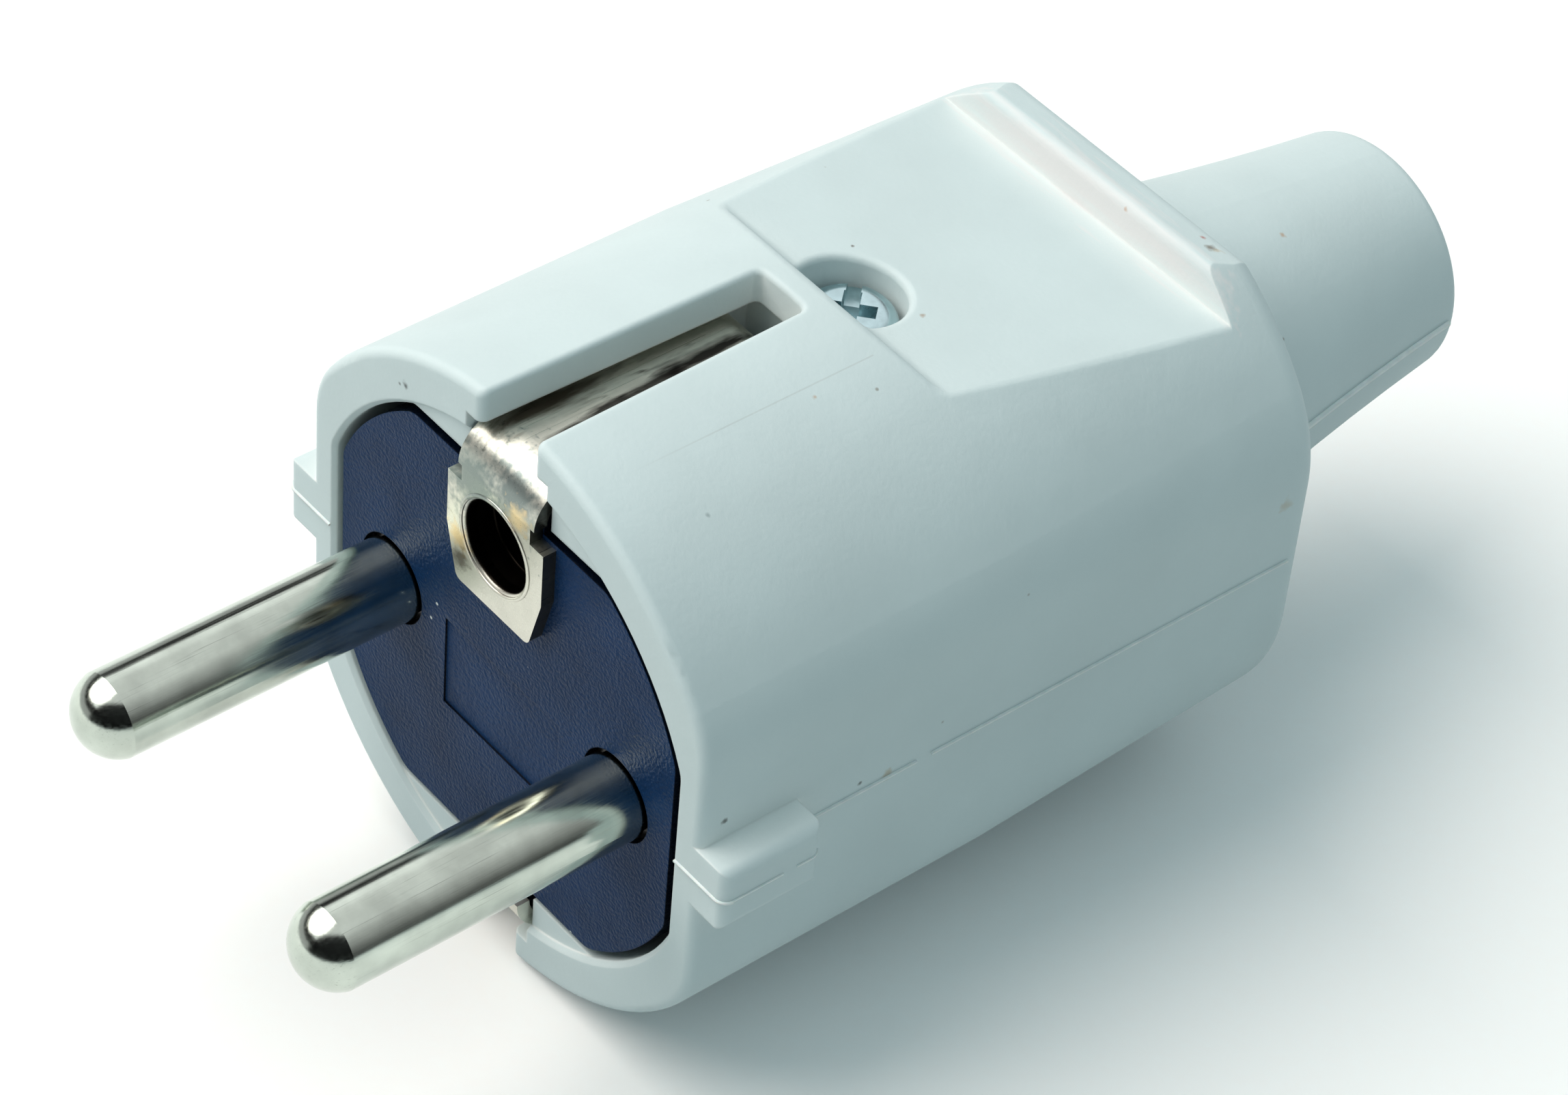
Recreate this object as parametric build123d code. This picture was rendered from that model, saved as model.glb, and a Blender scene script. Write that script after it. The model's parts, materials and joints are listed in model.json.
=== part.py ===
from build123d import *
import os
from math import radians, sqrt, tan

# Grounded mains plug. Millimetres. The origin is the middle of the engagement face, half way between
# the pins. X runs from one pin to the other, the pins point along -Y, the cord leaves along +Y and
# the housing screw is on top, +Z.

# Pins
pin_dia = 4.8
pin_length = 19.0
pin_pitch = 19.0
pin_nose_height = 1.9
pin_undercut_dia = 4.4
pin_undercut_length = 0.6
pin_seat_dia = 5.2
pin_collar_dia = 7.2
pin_collar_thickness = 1.3
terminal_dia = 6.4
terminal_length = 9.0
wire_hole_dia = 3.4
wire_hole_depth = 7.5
wire_grip = 0.85

# Housing, outside
body_dia = 36.9
tail_taper = 0.7
flat_depth = 2.15
flat_blend = 6.0
tail_blend = 10.0
body_length = 41.3
straight_length = 20.35
front_round = 0.5
rear_round = 1.5

# Cord boot
boot_length = 20.1
boot_root_dia = 20.8
boot_tip_dia = 14.4
boot_waist = 0.25
boot_end_round = 0.7
cord_bore_dia = 10.4
funnel_dia = 17.0
funnel_length = 9.0

# Grip panel and the ridge behind it, on the top and on the underside
panel_front_height = 16.1
panel_rear_height = 13.75
step_angle = 39.0
step_foot_round = 1.0
panel_edge_round = 0.6
ridge_length = 3.45
ridge_height = 15.75
ridge_rear_height = 14.95
ridge_lean = 0.5
ridge_round = 0.6

# Earth slots in the top and the underside
slot_length = 17.0
slot_front_width = 4.3
slot_rear_width = 3.6
slot_corner = 0.4
slot_lip_round = 0.3
track_side_gap = 0.2
track_head_gap = 0.5
track_end_gap = 1.4

# Guide tabs on the flats
tab_reach = 2.15
tab_length = 6.2
tab_height = 4.0
tab_round = 0.6

# Mouth and cavity of the housing
mouth_height = 26.4
mouth_bulge = 1.1
mouth_blend = 1.6
mouth_bevel = 0.25
rim_step = 0.35
collar_room = 0.6
cavity_ledge = 0.7
cavity_draft = 1.0
rear_wall = 2.5

# Contact carrier
carrier_gap = 0.5
carrier_recess = 0.25
block_depth = 6.3
press_gap = 0.03
partition_gap = 0.5
partition_thickness = 1.4
partition_height = 20.0
field_width = 9.6
field_height = 6.0
field_depth = 0.12
field_drop = 2.1

# Earth strip and the tube behind its plate
strip_thickness = 0.8
strip_width = 6.2
strip_top = 15.8
strip_front_bend = 2.4
strip_rear_bend = 1.5
strip_rear = 16.3
plate_width = 7.8
plate_bottom = 5.7
plate_shoulder = 12.4
plate_foot_width = 6.0
plate_taper_start = 9.0
plate_corner = 0.5
neck_width = 5.6
tongue_top = -13.4
earth_hole_dia = 5.0
earth_hole_height = 10.0
earth_hole_round = 0.3
socket_wall = 0.4
socket_end = 13.6
socket_slit = 0.8
holder_wall = 0.8
seat_gap = 0.05

# Screws, nut and washer
screw_play = 0.2
thread_play = 0.02
housing_screw_dia = 3.0
housing_screw_head_dia = 5.4
housing_screw_head_height = 2.2
housing_screw_length = 8.0
housing_screw_setback = 1.35
recess_dia = 6.0
recess_floor = 12.5
recess_round = 0.35
boss_dia = 9.6
boss_bottom = 10.3
cross_width = 3.6
cross_turn = 42.0
nut_width = 5.5
nut_thickness = 2.4
nut_play = 0.1
nut_cover = 1.6
nut_floor = 2.7
nut_wall = 0.9
terminal_screw_dia = 3.0
terminal_screw_head_dia = 5.0
terminal_screw_head_height = 1.8
terminal_screw_lift = 0.8
earth_screw_dia = 3.5
earth_screw_head_dia = 6.2
earth_screw_head_height = 2.0
earth_screw_length = 6.0
earth_screw_drop = 3.6
washer_width = 6.6
washer_thickness = 1.0
clamp_screw_dia = 2.9
clamp_screw_head_dia = 5.2
clamp_screw_head_height = 1.9
clamp_screw_length = 9.0
slot_width = 0.8
slot_depth = 0.9

# Cord clamp on the carrier's tail
cord_space_dia = 8.0
clamp_length = 6.0
clamp_foot_height = 3.0
clamp_crown = 2.2
clamp_head_gap = 0.17
clamp_edge = 0.2
cradle_length = 8.4
cradle_end_gap = 1.0
cradle_bottom = -8.4

# Worked out from the sizes above
pin_radius = pin_dia / 2
body_radius = body_dia / 2
body_width = body_dia - 2 * flat_depth
tail_dia = body_dia - 2 * tail_taper
face_y = carrier_recess
block_back = face_y + block_depth
seat_front = face_y + pin_undercut_length
nose_back = pin_nose_height - pin_length
nose_radius = (pin_radius**2 + pin_nose_height**2) / (2 * pin_nose_height)
panel_start = straight_length
panel_end = body_length - ridge_length
cavity_end = body_length - rear_wall
boot_end = body_length + boot_length
plate_front = face_y - strip_thickness
screw_y = panel_start + housing_screw_setback
track_width = strip_width + 2 * track_side_gap
track_height = strip_top + track_head_gap
track_length = strip_rear + track_end_gap
mouth_width = pin_pitch + pin_collar_dia + 2 * (cavity_ledge + collar_room)
mouth_dia = mouth_width + 2 * mouth_bulge
cavity_dia = mouth_dia - 2 * cavity_ledge
cavity_width = mouth_width - 2 * cavity_ledge
cavity_height = mouth_height - 2 * cavity_ledge
partition_inner = strip_width / 2 + partition_gap
partition_outer = partition_inner + partition_thickness
arm_inner = strip_top - strip_thickness
web_front = strip_rear - strip_thickness
sleeve_room = earth_hole_dia + 2 * socket_wall + 2 * seat_gap
collar_back = block_back + pin_collar_thickness
terminal_end = collar_back + terminal_length
terminal_screw_y = terminal_end - wire_hole_depth / 2
pocket_half = nut_width / 2 + nut_play
nut_block_top = boss_bottom - seat_gap
nut_top = nut_block_top - nut_cover
nut_block_bottom = nut_top - nut_thickness - nut_floor
cradle_end = cavity_end - cradle_end_gap
cradle_front = cradle_end - cradle_length
cradle_middle = cradle_end - cradle_length / 2
crown_radius = cord_space_dia / 2 + clamp_crown
crown_foot = sqrt(crown_radius**2 - clamp_foot_height**2)
clamp_screw_x = crown_foot + clamp_screw_head_dia / 2 + clamp_head_gap
clamp_half_span = clamp_screw_x + clamp_screw_head_dia / 2 + clamp_edge
MITRE = 45.0
OVER = 1.0


def across(y):
    """Plane square to the plug's length at y: local x is X and local y is Z, facing the pins."""
    return Plane((0, y, 0), x_dir=(1, 0, 0), z_dir=(0, -1, 0))


def along(shape, y_from, y_to):
    """Extrude a sketch drawn in X and Z from one y to another."""
    return extrude(across(y_from) * shape, amount=y_from - y_to)


def sideways(shape, half_width):
    """Extrude a sketch drawn in Y and Z to both sides of the middle plane."""
    return extrude(Plane.YZ * shape, amount=half_width, both=True)


def rod(dia, y_from, y_to, x=0.0, z=0.0):
    """Round bar along the plug's length."""
    return along(Pos(x, z) * Circle(dia / 2), y_from, y_to)


def post(dia, z_from, z_to, x=0.0, y=0.0):
    """Round bar standing up."""
    return Pos(x, y, z_from) * extrude(Circle(dia / 2), amount=z_to - z_from)


def block(x_from, x_to, y_from, y_to, z_from, z_to):
    """Plain block between two corners."""
    size = Box(x_to - x_from, y_to - y_from, z_to - z_from)
    return Pos((x_from + x_to) / 2, (y_from + y_to) / 2, (z_from + z_to) / 2) * size


def flipped(shape):
    """The same shape on the underside."""
    return mirror(shape, about=Plane.XY)


def round_with_flats(dia, width, blend, height=None):
    """Circle cut by flats at its sides, and above and below where a height is given, corners blended."""
    outline = Circle(dia / 2) & Rectangle(width, height or dia * 2)
    return fillet(outline.vertices(), blend)


def housing_outside():
    """Round body with flats, tapering behind the slots, with the panel and ridge cut into both faces."""
    front = round_with_flats(body_dia, body_width, flat_blend)
    rear = round_with_flats(tail_dia, body_width, tail_blend)
    body = along(front, 0, straight_length)
    body += loft([across(straight_length) * front, across(body_length) * rear], ruled=True)
    body -= panel_cut() + flipped(panel_cut())
    body = fillet(panel_edges(body), panel_edge_round)
    body = fillet(body.faces().sort_by(Axis.Y)[-1].outer_wire().edges(), rear_round)
    body -= post(recess_dia, recess_floor, body_radius + OVER, y=screw_y)
    body = fillet(recess_rim(body), recess_round)
    slot = earth_slot()
    body -= slot + flipped(slot)
    body = fillet(slot_lips(body), slot_lip_round)
    body = fillet(body.faces().sort_by(Axis.Y)[0].outer_wire().edges(), front_round)
    tab = guide_tab()
    return body + boot() + tab + mirror(tab, about=Plane.YZ)


def panel_cut():
    """Wedge above the grip panel: a leaning step, the sloping panel, the ridge and the flat behind it."""
    reach = body_radius + OVER
    step_run = (reach - panel_front_height) * tan(radians(step_angle))
    outline = Polyline(
        (panel_start - step_run, reach),
        (panel_start, panel_front_height),
        (panel_end, panel_rear_height),
        (panel_end + ridge_lean, ridge_height),
        (body_length, ridge_rear_height),
        (body_length + OVER, ridge_rear_height),
        (body_length + OVER, reach),
        close=True,
    )
    wedge = make_face(outline)
    crest = wedge.vertices().sort_by_distance((panel_end + ridge_lean, ridge_height))[0]
    wedge = fillet(crest, ridge_round)
    foot = wedge.vertices().sort_by_distance((panel_start, panel_front_height))[0]
    return sideways(fillet(foot, step_foot_round), body_radius + OVER)


def panel_edges(body):
    """Edges at the head of the step and down both sides of the panel, above and below."""
    step_head = panel_start - (body_radius - panel_front_height) * tan(radians(step_angle))
    heads = body.edges().filter_by_position(Axis.Y, step_head - OVER / 2, step_head + OVER / 2)
    middle = (panel_start + panel_end) / 2
    sides = body.edges().filter_by_position(Axis.Y, middle - OVER, middle + OVER)
    wide = body_width / 2 - flat_blend / 2
    return heads + sides.filter_by_position(Axis.X, -wide, wide)


def guide_tab():
    """Short rounded rail on one flat."""
    outer = body_width / 2 + tab_reach
    rail = block(body_width / 2 - OVER, outer, 0, tab_length, -tab_height / 2, tab_height / 2)
    outer_face = rail.faces().sort_by(Axis.X)[-1]
    return fillet(outer_face.edges(), tab_round)


def boot():
    """Tapered boot that the cord leaves through, drawn in a little along its middle, its end rounded over."""
    root = boot_root_dia / 2
    tip = boot_tip_dia / 2
    start = (body_length, root)
    end = (boot_end, tip)
    waist = (body_length + boot_length / 2, (root + tip) / 2 - boot_waist)
    rest = Polyline(end, (boot_end, 0), (body_length - OVER, 0), (body_length - OVER, root), start)
    profile = make_face(ThreePointArc(start, waist, end) + rest)
    solid = revolve(Plane.YZ * profile, axis=Axis.Y)
    return fillet(solid.edges().sort_by(Axis.Y)[-1], boot_end_round)


def earth_slot():
    """Slot over the top arm of the strip, open to the front and narrowing to the rear."""
    front = slot_front_width / 2
    rear = slot_rear_width / 2
    corners = [(-front, -OVER), (front, -OVER), (rear, slot_length), (-rear, slot_length)]
    plan = make_face(Polyline(*corners, close=True))
    plan = fillet(plan.vertices().sort_by(Axis.Y)[-2:], slot_corner)
    deep = body_radius - track_height + 2 * OVER
    return Pos(0, 0, track_height - OVER) * extrude(plan, amount=deep)


def slot_lips(body):
    """Outer edges round both slots."""
    wide = slot_front_width / 2
    middle = (track_height + body_radius) / 2
    edges = body.edges().filter_by_position(Axis.X, -wide, wide)
    edges = edges.filter_by_position(Axis.Y, front_round, slot_length + OVER / 2)
    top = edges.filter_by_position(Axis.Z, middle, body_radius)
    return top + edges.filter_by_position(Axis.Z, -body_radius, -middle)


def strip_track():
    """Room for the top arm of the strip, wider than the slot over it."""
    side = track_width / 2
    return block(-side, side, -OVER, track_length, cavity_height / 2 - OVER, track_height)


def housing_inside():
    """Mouth, cavity, cord bore and its funnel."""
    rim = round_with_flats(mouth_dia, mouth_width, mouth_blend)
    mouth = round_with_flats(mouth_dia, mouth_width, mouth_blend, mouth_height)
    cavity = round_with_flats(cavity_dia, cavity_width, mouth_blend, cavity_height)
    inside = along(rim, -OVER, rim_step) + along(mouth, -OVER, block_back)
    inside += extrude(across(mouth_bevel) * rim, mouth_bevel + OVER, taper=-MITRE)
    inside += along(cavity, block_back - OVER, block_back)
    inside += extrude(across(block_back) * cavity, block_back - cavity_end, taper=cavity_draft)
    inside += rod(cord_bore_dia, cavity_end - OVER, boot_end + OVER)
    funnel = Pos(0, cavity_end + funnel_length / 2, 0) * Rot(90, 0, 0) * Cone(
        cord_bore_dia / 2, funnel_dia / 2, funnel_length
    )
    return inside + funnel


def recess_rim(body):
    """Upper edges of the sunk seat of the housing screw."""
    rear = (0, screw_y + recess_dia / 2, recess_floor + OVER)
    wall = body.faces().filter_by(GeomType.CYLINDER).sort_by_distance(rear)[0]
    edges = wall.edges().filter_by(GeomType.LINE, reverse=True)
    return edges.filter_by_position(Axis.Z, recess_floor + OVER, body_radius)


def make_housing():
    inside = housing_inside() - post(boss_dia, boss_bottom, body_radius, y=screw_y)
    track = strip_track()
    hole = post(housing_screw_dia + 2 * screw_play, 0, body_radius, y=screw_y)
    return housing_outside() - inside - track - flipped(track) - hole


def carrier_rib():
    """Raised rib under the arm of the strip, its nose rounded to fit the strip's bend."""
    top = arm_inner - seat_gap
    nose = strip_front_bend - strip_thickness - seat_gap
    side = Pos((face_y + web_front) / 2, top / 2) * Rectangle(web_front - face_y - 2 * seat_gap, top)
    corner = side.vertices().sort_by_distance((face_y, top))[0]
    return sideways(fillet(corner, nose), neck_width / 2)


def make_contact_carrier():
    width = mouth_width - 2 * carrier_gap
    height = mouth_height - 2 * carrier_gap
    outline = round_with_flats(mouth_dia - 2 * carrier_gap, width, mouth_blend, height)
    carrier = along(outline, face_y, block_back)
    tall = partition_height / 2
    wall = block(partition_inner, partition_outer, block_back, cradle_front, -tall, tall)
    carrier += wall + mirror(wall, about=Plane.YZ)
    rib = carrier_rib() & block(-neck_width, neck_width, 0, block_back, 0, body_radius)
    carrier += rib + flipped(rib) + socket_holder() + nut_block() + cradle()
    carrier -= rod(sleeve_room, -OVER, socket_end + OVER, z=earth_hole_height)
    for x in (-pin_pitch / 2, pin_pitch / 2):
        carrier -= rod(pin_seat_dia + 2 * press_gap, -OVER, block_back + OVER, x=x)
    wide = field_width / 2
    top = field_height / 2 - field_drop
    return carrier - block(-wide, wide, face_y - OVER, face_y + field_depth, top - field_height, top)


def socket_holder():
    """Round housing of the spring tube behind the block, standing on both partitions."""
    return rod(sleeve_room + 2 * holder_wall, block_back, socket_end, z=earth_hole_height)


def nut_block():
    """Bridge between the partitions with the pocket for the nut, open to the rear."""
    half = pocket_half + nut_wall
    bridge = block(
        -partition_inner, partition_inner, screw_y - half, screw_y + half, nut_block_bottom, nut_block_top
    )
    bridge -= post(housing_screw_dia + 2 * screw_play, nut_block_bottom - OVER, body_radius, y=screw_y)
    floor = nut_top - nut_thickness - nut_play
    return bridge - block(
        -pocket_half, pocket_half, screw_y - pocket_half, screw_y + half + OVER, floor, nut_top + nut_play
    )


def cradle():
    """Tail of the carrier: lower half of the cord clamp with a post under each foot of the bar."""
    half = block(-clamp_half_span, clamp_half_span, cradle_front, cradle_end, cradle_bottom, 0)
    half -= rod(cord_space_dia, cradle_front - OVER, cradle_end + OVER)
    for x in (-clamp_screw_x, clamp_screw_x):
        half -= post(clamp_screw_dia + 2 * thread_play, -clamp_screw_length, OVER, x, cradle_middle)
    return half


def make_pin(side):
    """Turned pin: domed nose, shank, undercut, pressed seat, collar and a drilled terminal end."""
    x = side * pin_pitch / 2
    ball = Pos(x, nose_radius - pin_length, 0) * Sphere(nose_radius)
    pin = rod(pin_dia, nose_back, face_y, x=x) + (rod(pin_dia, -pin_length, nose_back, x=x) & ball)
    pin += rod(pin_undercut_dia, face_y, seat_front, x=x)
    pin += rod(pin_seat_dia, seat_front, block_back, x=x)
    pin += rod(pin_collar_dia, block_back, collar_back, x=x)
    pin += rod(terminal_dia, collar_back, terminal_end, x=x)
    pin -= rod(wire_hole_dia, terminal_end - wire_hole_depth, terminal_end + OVER, x=x)
    return pin - post(terminal_screw_dia + 2 * thread_play, 0, terminal_dia, x=x, y=terminal_screw_y)


def slotted_screw(dia, length, head_dia, head_height):
    """Cheese head screw with a straight slot, standing head up with its seat at the origin."""
    screw = post(dia, -length, 0) + post(head_dia, 0, head_height)
    return screw - block(
        -head_dia, head_dia, -slot_width / 2, slot_width / 2, head_height - slot_depth, head_height + OVER
    )


def make_terminal_screw(side):
    seat = terminal_dia / 2 + terminal_screw_lift
    screw = slotted_screw(
        terminal_screw_dia, seat - wire_grip, terminal_screw_head_dia, terminal_screw_head_height
    )
    return Pos(side * pin_pitch / 2, terminal_screw_y, seat) * screw


def make_earth_strip():
    """Strip folded round the carrier block: plate, top arm, web, lower arm and tongue."""
    long = strip_rear - plate_front
    middle = (strip_rear + plate_front) / 2
    outer = Pos(middle, 0) * Rectangle(long, 2 * strip_top)
    inner = Pos(middle, 0) * Rectangle(long - 2 * strip_thickness, 2 * arm_inner)
    loop = bent(outer, 0) - bent(inner, strip_thickness)
    strip = sideways(loop, strip_width / 2)
    front = plate_front - OVER
    back = face_y + OVER / 2
    strip -= block(-strip_width, strip_width, front, back, tongue_top, plate_shoulder)
    notch = block(neck_width / 2, strip_width, front, back, plate_shoulder, strip_top - strip_front_bend)
    strip -= notch + mirror(notch, about=Plane.YZ)
    strip += earth_plate()
    strip -= rod(earth_hole_dia, front, face_y + OVER, z=earth_hole_height)
    hole_edge = strip.edges().sort_by_distance((0, plate_front, earth_hole_height))[0]
    strip = fillet(hole_edge, earth_hole_round)
    thread = earth_screw_dia + 2 * thread_play
    return strip - rod(thread, web_front - OVER, strip_rear + OVER, z=-earth_screw_drop)


def bent(rectangle, inset):
    """Round the corners of the folded loop, tighter by the inset on its inside."""
    front = rectangle.vertices().sort_by(Axis.X)[:2]
    shape = fillet(front, strip_front_bend - inset)
    rear = shape.vertices().sort_by(Axis.X)[-2:]
    return fillet(rear, strip_rear_bend - inset)


def earth_plate():
    """Wide lobe of the plate on the carrier's face."""
    wide = plate_width / 2
    foot = plate_foot_width / 2
    half = [(0, plate_shoulder), (wide, plate_shoulder), (wide, plate_taper_start), (foot, plate_bottom)]
    corners = half + [(-x, z) for x, z in reversed(half[1:])]
    outline = make_face(Polyline(*corners, close=True))
    outline = fillet(outline.vertices().sort_by(Axis.Y)[:2], plate_corner)
    return along(outline, plate_front, face_y)


def make_earth_pin_socket():
    """Split spring tube behind the hole."""
    tube = rod(earth_hole_dia + 2 * socket_wall, face_y, socket_end, z=earth_hole_height)
    tube -= rod(earth_hole_dia, face_y - OVER, socket_end + OVER, z=earth_hole_height)
    return tube - block(
        -socket_slit / 2, socket_slit / 2, block_back, socket_end + OVER, 0, earth_hole_height
    )


def make_housing_screw():
    """Pan head screw with a cross recess crossed by a slot."""
    head = post(housing_screw_head_dia, 0, housing_screw_head_height)
    head = fillet(head.edges().sort_by(Axis.Z)[-1], housing_screw_head_height / 2)
    screw = head + post(housing_screw_dia, -housing_screw_length, 0)
    long = cross_width / 2
    wide = slot_width / 2
    floor = housing_screw_head_height - slot_depth
    arm = block(-long, long, -wide, wide, floor, housing_screw_head_height + OVER)
    screw -= arm + Rot(0, 0, 90) * arm
    return Pos(0, screw_y, recess_floor) * Rot(0, 0, cross_turn) * screw


def make_housing_nut():
    nut = Box(nut_width, nut_width, nut_thickness)
    nut -= Cylinder(housing_screw_dia / 2 + thread_play, nut_thickness)
    return Pos(0, screw_y, nut_top - nut_thickness / 2) * nut


def make_earth_terminal_washer():
    back = strip_rear + washer_thickness
    half = washer_width / 2
    plate = block(-half, half, strip_rear, back, -earth_screw_drop - half, -earth_screw_drop + half)
    return plate - rod(earth_screw_dia + 2 * screw_play, strip_rear - OVER, back + OVER, z=-earth_screw_drop)


def make_earth_terminal_screw():
    screw = slotted_screw(earth_screw_dia, earth_screw_length, earth_screw_head_dia, earth_screw_head_height)
    return Pos(0, strip_rear + washer_thickness, -earth_screw_drop) * Rot(-90, 0, 0) * screw


def make_cord_clamp():
    """Bar with a foot on each side and an arch over the cord."""
    feet = Pos(0, clamp_foot_height / 2) * Rectangle(2 * clamp_half_span, clamp_foot_height)
    arch = Circle(crown_radius) & Pos(0, crown_radius) * Rectangle(4 * crown_radius, 2 * crown_radius)
    shape = feet + arch - Circle(cord_space_dia / 2)
    bar = along(shape, cradle_middle - clamp_length / 2, cradle_middle + clamp_length / 2)
    for x in (-clamp_screw_x, clamp_screw_x):
        bar -= post(clamp_screw_dia + 2 * screw_play, -OVER, clamp_foot_height + OVER, x, cradle_middle)
    return bar


def make_clamp_screw(side):
    screw = slotted_screw(clamp_screw_dia, clamp_screw_length, clamp_screw_head_dia, clamp_screw_head_height)
    return Pos(side * clamp_screw_x, cradle_middle, clamp_foot_height) * screw


pieces = {
    "housing": make_housing(),
    "contact_carrier": make_contact_carrier(),
    "line_pin": make_pin(-1),
    "neutral_pin": make_pin(1),
    "line_terminal_screw": make_terminal_screw(-1),
    "neutral_terminal_screw": make_terminal_screw(1),
    "earth_strip": make_earth_strip(),
    "earth_pin_socket": make_earth_pin_socket(),
    "earth_terminal_washer": make_earth_terminal_washer(),
    "earth_terminal_screw": make_earth_terminal_screw(),
    "housing_screw": make_housing_screw(),
    "housing_nut": make_housing_nut(),
    "cord_clamp": make_cord_clamp(),
    "cord_clamp_screw_left": make_clamp_screw(-1),
    "cord_clamp_screw_right": make_clamp_screw(1),
}

os.makedirs("parts", exist_ok=True)
for name, piece in pieces.items():
    export_step(piece, f"parts/{name}.step")
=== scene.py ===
import json
from math import cos, pi, radians, sin

import bmesh
import bpy
from mathutils import Matrix, Vector

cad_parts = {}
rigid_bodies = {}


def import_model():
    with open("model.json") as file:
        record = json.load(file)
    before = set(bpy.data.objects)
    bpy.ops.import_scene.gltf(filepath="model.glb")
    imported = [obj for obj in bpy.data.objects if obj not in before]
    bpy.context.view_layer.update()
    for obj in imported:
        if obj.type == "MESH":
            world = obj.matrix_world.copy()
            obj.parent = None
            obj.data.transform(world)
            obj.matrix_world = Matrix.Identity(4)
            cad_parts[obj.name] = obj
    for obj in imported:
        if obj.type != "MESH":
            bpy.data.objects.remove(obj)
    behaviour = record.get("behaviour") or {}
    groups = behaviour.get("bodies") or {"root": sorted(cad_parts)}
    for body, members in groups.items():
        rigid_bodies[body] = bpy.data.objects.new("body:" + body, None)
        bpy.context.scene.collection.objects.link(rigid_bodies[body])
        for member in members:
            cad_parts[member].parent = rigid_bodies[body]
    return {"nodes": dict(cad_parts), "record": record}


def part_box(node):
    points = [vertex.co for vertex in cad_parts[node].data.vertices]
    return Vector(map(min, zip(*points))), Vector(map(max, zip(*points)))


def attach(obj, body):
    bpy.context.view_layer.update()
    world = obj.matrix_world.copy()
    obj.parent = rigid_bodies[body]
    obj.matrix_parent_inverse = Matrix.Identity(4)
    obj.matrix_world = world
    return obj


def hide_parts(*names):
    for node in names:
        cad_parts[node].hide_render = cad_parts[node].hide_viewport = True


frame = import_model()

bl_info = {
    "name": "Grounded plug finish",
    "version": (1, 0, 0),
    "blender": (4, 5, 0),
    "location": "3D View > Sidebar > Plug",
    "description": "Finishes, mould flash, turned screws and a plain stage for a grounded mains plug",
    "category": "Object",
}

MM = 0.001
BODY = "root"

# The startup file's own objects are no part of the plug
for stray in [o for o in bpy.data.objects if o.name not in frame["nodes"] and o.type != "EMPTY"]:
    bpy.data.objects.remove(stray)
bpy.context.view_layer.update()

# Places read from the frame
MOUNTS = {mount["name"]: mount for mount in frame["record"]["mounts"]}
BODY_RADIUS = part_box("housing")[1].x
BOOT_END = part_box("housing")[1].y
FLOOR_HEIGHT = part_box("housing")[0].z
SCREW_LOW, SCREW_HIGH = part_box("housing_screw")
HOLE_HEIGHT = MOUNTS["earth_pin_hole"]["pos_m"][2]
HOLE_RADIUS = MOUNTS["earth_pin_hole"]["dims"]["r_mm"] * MM
PLATE_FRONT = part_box("earth_strip")[0].y


def linear(hex_colour):
    """Linear RGBA of an sRGB hex colour."""
    channels = [int(hex_colour[i:i + 2], 16) / 255 for i in (1, 3, 5)]
    return tuple(c / 12.92 if c <= 0.04045 else ((c + 0.055) / 1.055) ** 2.4 for c in channels) + (1.0,)


def per_mm(size):
    """Texture scale whose features are about this many millimetres across."""
    return 1.0 / (size * MM)


def add(tree, kind, sockets=None, **settings):
    """Adds a node to a tree, sets its properties, and sets or links its inputs."""
    node = tree.nodes.new(kind)
    for name, value in settings.items():
        setattr(node, name, value)
    for key, value in (sockets or {}).items():
        if isinstance(value, bpy.types.NodeSocket):
            tree.links.new(value, node.inputs[key])
        else:
            node.inputs[key].default_value = value
    return node


def new_material(name):
    """An empty node material and its tree."""
    material = bpy.data.materials.new(name)
    material.use_nodes = True
    material.node_tree.nodes.clear()
    return material, material.node_tree


def length(name, description, millimetres):
    """A length property with its default in millimetres."""
    return bpy.props.FloatProperty(
        name=name, description=description, default=millimetres * MM, unit="LENGTH", precision=5
    )


def colour(name, description, hex_colour):
    """A colour property with an sRGB default."""
    return bpy.props.FloatVectorProperty(
        name=name, description=description, default=linear(hex_colour), size=4, subtype="COLOR", min=0, max=1
    )


def angle(name, description, degrees):
    """An angle property with its default in degrees."""
    return bpy.props.FloatProperty(
        name=name, description=description, default=radians(degrees), subtype="ANGLE"
    )


def number(name, description, default):
    """A property that is a plain number."""
    return bpy.props.FloatProperty(name=name, description=description, default=default)


class PlugColours(bpy.types.PropertyGroup):
    """Colours of the plug's finishes."""

    housing: colour("Housing", "Light grey of the moulded housing", "#CAD5D6")
    # Whitened flash and pale dust, and also the painted highlight along the housing's edges and its painted
    # glow in wells and slots
    housing_pale_and_painted_light: colour("Housing, pale", "Stress-whitened plastic at flash and edges", "#F1F3F0")
    insert: colour("Insert", "Slate of the moulded contact carrier", "#122E51")
    nickel: colour("Nickel", "Bright nickel plating on the pins", "#CBD4CA")
    strip: colour("Strip", "Duller nickel plating on the earth strip", "#D9D8CC")
    # Painted shade: this dark colour goes inside the earth tube, on the pins' seats and on the strip's
    # sheared sides and hole wall
    painted_shade_dark: colour("Tarnish", "Dark tarnish inside the earth tube and round the pins' seats", "#15120F")
    zinc: colour("Zinc", "Clear blue passivated zinc on the screws", "#BBD3D8")
    dirt: colour("Dirt", "Brown specks moulded into or rubbed onto the housing", "#7A6A58")


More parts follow.
